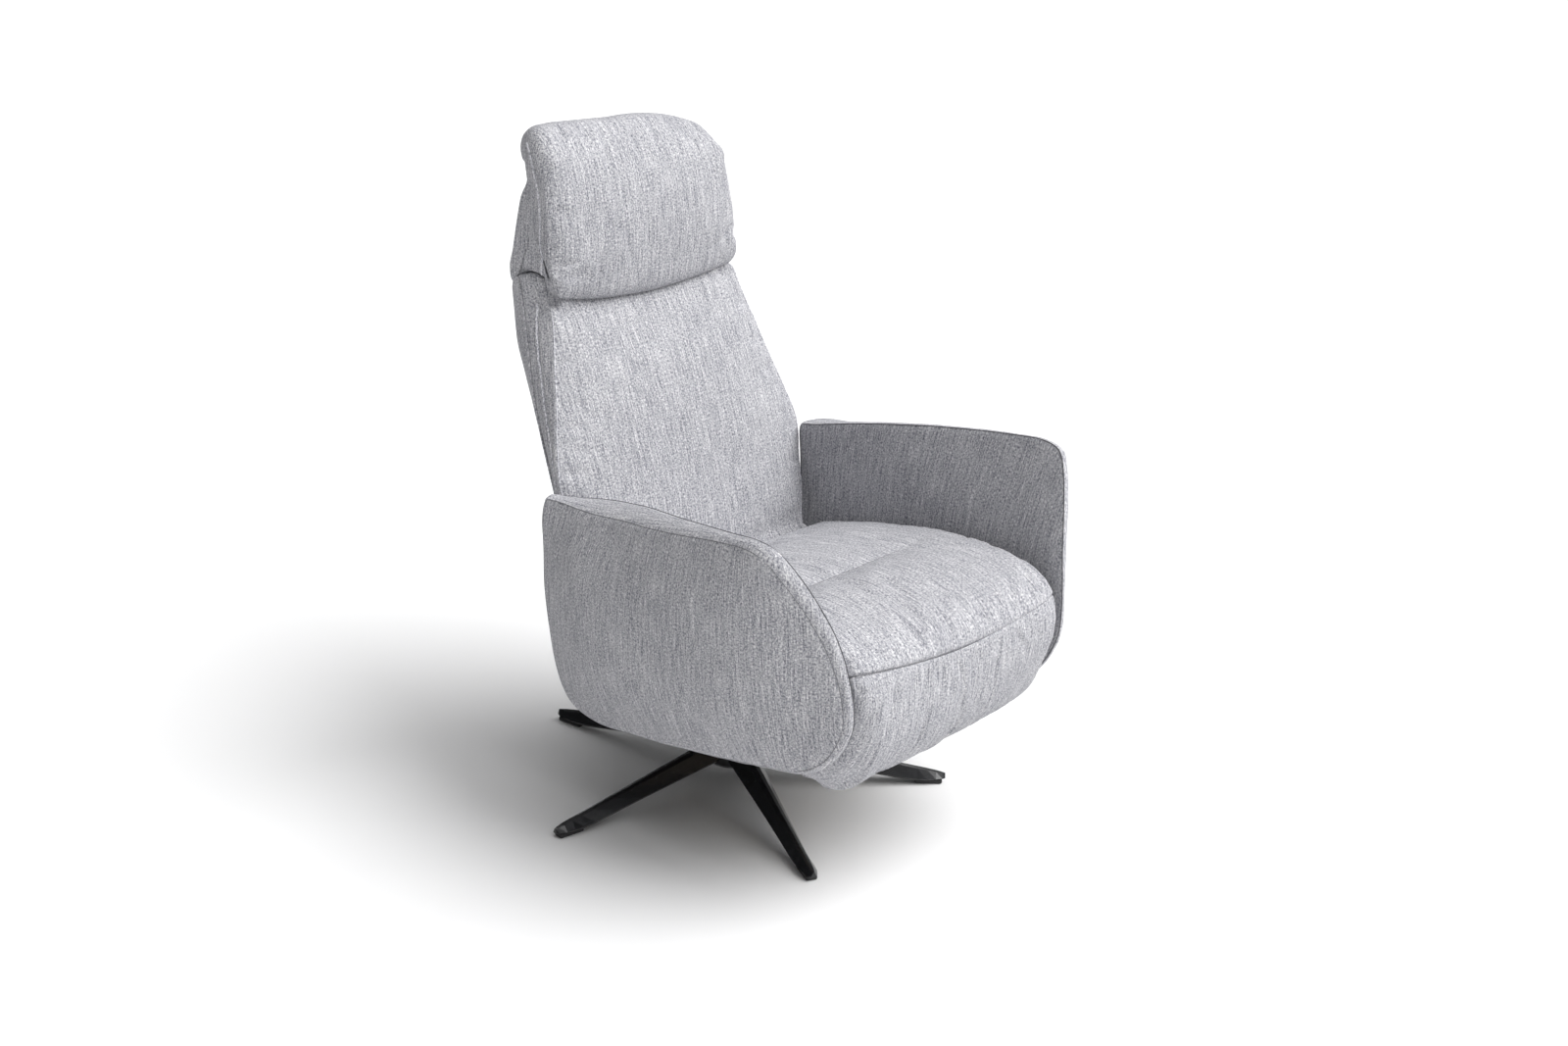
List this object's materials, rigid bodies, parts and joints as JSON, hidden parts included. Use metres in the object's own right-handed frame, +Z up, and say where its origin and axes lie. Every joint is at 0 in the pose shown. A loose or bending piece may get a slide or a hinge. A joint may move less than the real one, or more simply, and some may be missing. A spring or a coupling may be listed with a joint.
{
  "type": "swivel recliner",
  "caption": "Upholstered swivel recliner with flared armrests, reclining back, tilting headrest, swing-up leg rest and a black star foot on glides.",
  "frame": {"origin": "centre of the chair's bounding box on the floor", "axes": "+Z up, the chair faces -Y, +X to the sitter's left; x = 0 is the plane of symmetry of the seat, back and armrests, and the swivel axis is at x = 0, y = 0.0635"},
  "size_m": [0.719, 0.843, 1.09],
  "materials": {
    "star_black": "satin black powder coat",
    "column_black": "satin black",
    "glide_plastic": "matte black",
    "bare_steel": "zinc plated",
    "frame_black": "black enamel",
    "plywood": "raw birch plywood",
    "upholstery": "light grey melange weave",
    "polished_rod": "polished",
    "bezel_plastic": "matte black"
  },
  "bodies": {
    "base": {"star_hub": "star_black", "star_arm_1": "star_black", "star_arm_2": "star_black", "star_arm_3": "star_black", "star_arm_4": "star_black", "star_arm_5": "star_black", "glide_1": "glide_plastic", "glide_2": "glide_plastic", "glide_3": "glide_plastic", "glide_4": "glide_plastic", "glide_5": "glide_plastic", "column_tube": "column_black", "bearing_lower_race": "bare_steel"},
    "chassis": {"bearing_upper_race": "bare_steel", "swivel_spindle": "bare_steel", "swivel_plate": "frame_black", "cross_member_front": "frame_black", "cross_member_rear": "frame_black", "seat_side_rail_left": "frame_black", "seat_side_rail_right": "frame_black", "seat_cross_tube_front": "frame_black", "seat_cross_tube_rear": "frame_black", "seat_deck": "plywood", "seat_cushion": "upholstery", "arm_inner_pad_left": "upholstery", "arm_inner_pad_right": "upholstery", "arm_outer_shell_left": "upholstery", "arm_outer_shell_right": "upholstery", "arm_bracket_left": "frame_black", "arm_bracket_right": "frame_black", "legrest_fixed_plate_left": "bare_steel", "legrest_fixed_plate_right": "bare_steel", "legrest_pivot_left": "bare_steel", "legrest_pivot_right": "bare_steel", "recline_fixed_plate_left": "bare_steel", "recline_fixed_plate_right": "bare_steel", "recline_pivot_left": "bare_steel", "recline_pivot_right": "bare_steel", "gas_spring_cylinder": "frame_black", "release_bezel": "bezel_plastic"},
    "backrest": {"back_cushion": "upholstery", "back_rear_cover": "upholstery", "back_side_tube_left": "frame_black", "back_side_tube_right": "frame_black", "back_cross_tube": "frame_black", "recline_swing_plate_left": "bare_steel", "recline_swing_plate_right": "bare_steel", "spring_lug": "bare_steel", "spring_pin": "bare_steel", "headrest_ratchet": "bare_steel"},
    "headrest": {"headrest_cushion": "upholstery", "headrest_board": "plywood", "headrest_rear_cover": "upholstery"},
    "legrest": {"legrest_pad": "upholstery", "legrest_board": "plywood", "legrest_swing_plate_left": "bare_steel", "legrest_swing_plate_right": "bare_steel"},
    "gas_rod": {"gas_spring_rod": "polished_rod", "gas_spring_eye": "bare_steel"},
    "button": {"release_button": "polished_rod"}
  },
  "joints": [
    {"name": "swivel", "type": "hinge", "parent": "base", "child": "chassis", "pos_m": [0, 0.0635, 0.19], "axis": [0, 0, 1], "continuous": true},
    {"name": "recline", "type": "hinge", "parent": "chassis", "child": "backrest", "pos_m": [0, 0.1835, 0.365], "axis": [-1, 0, 0], "range_deg": [0, 35]},
    {"name": "headrest_tilt", "type": "hinge", "parent": "backrest", "child": "headrest", "pos_m": [0, 0.352, 0.8], "axis": [1, 0, 0], "range_deg": [0, 30]},
    {"name": "legrest_swing", "type": "hinge", "parent": "chassis", "child": "legrest", "pos_m": [0, -0.3415, 0.405], "axis": [-1, 0, 0], "range_deg": [0, 85]},
    {"name": "gas_spring_slide", "type": "slide", "parent": "chassis", "child": "gas_rod", "axis": [0, -1, 0], "range_m": [0, 0.055]},
    {"name": "button_press", "type": "slide", "parent": "chassis", "child": "button", "axis": [-1, 0, 0], "range_m": [0, 0.003], "stiffness_N_per_m": 900, "springref_m": -0.002}
  ],
  "couplings": [
    {"joint": "gas_spring_slide", "follows": "recline", "m_per_rad": 0.08971}
  ]
}
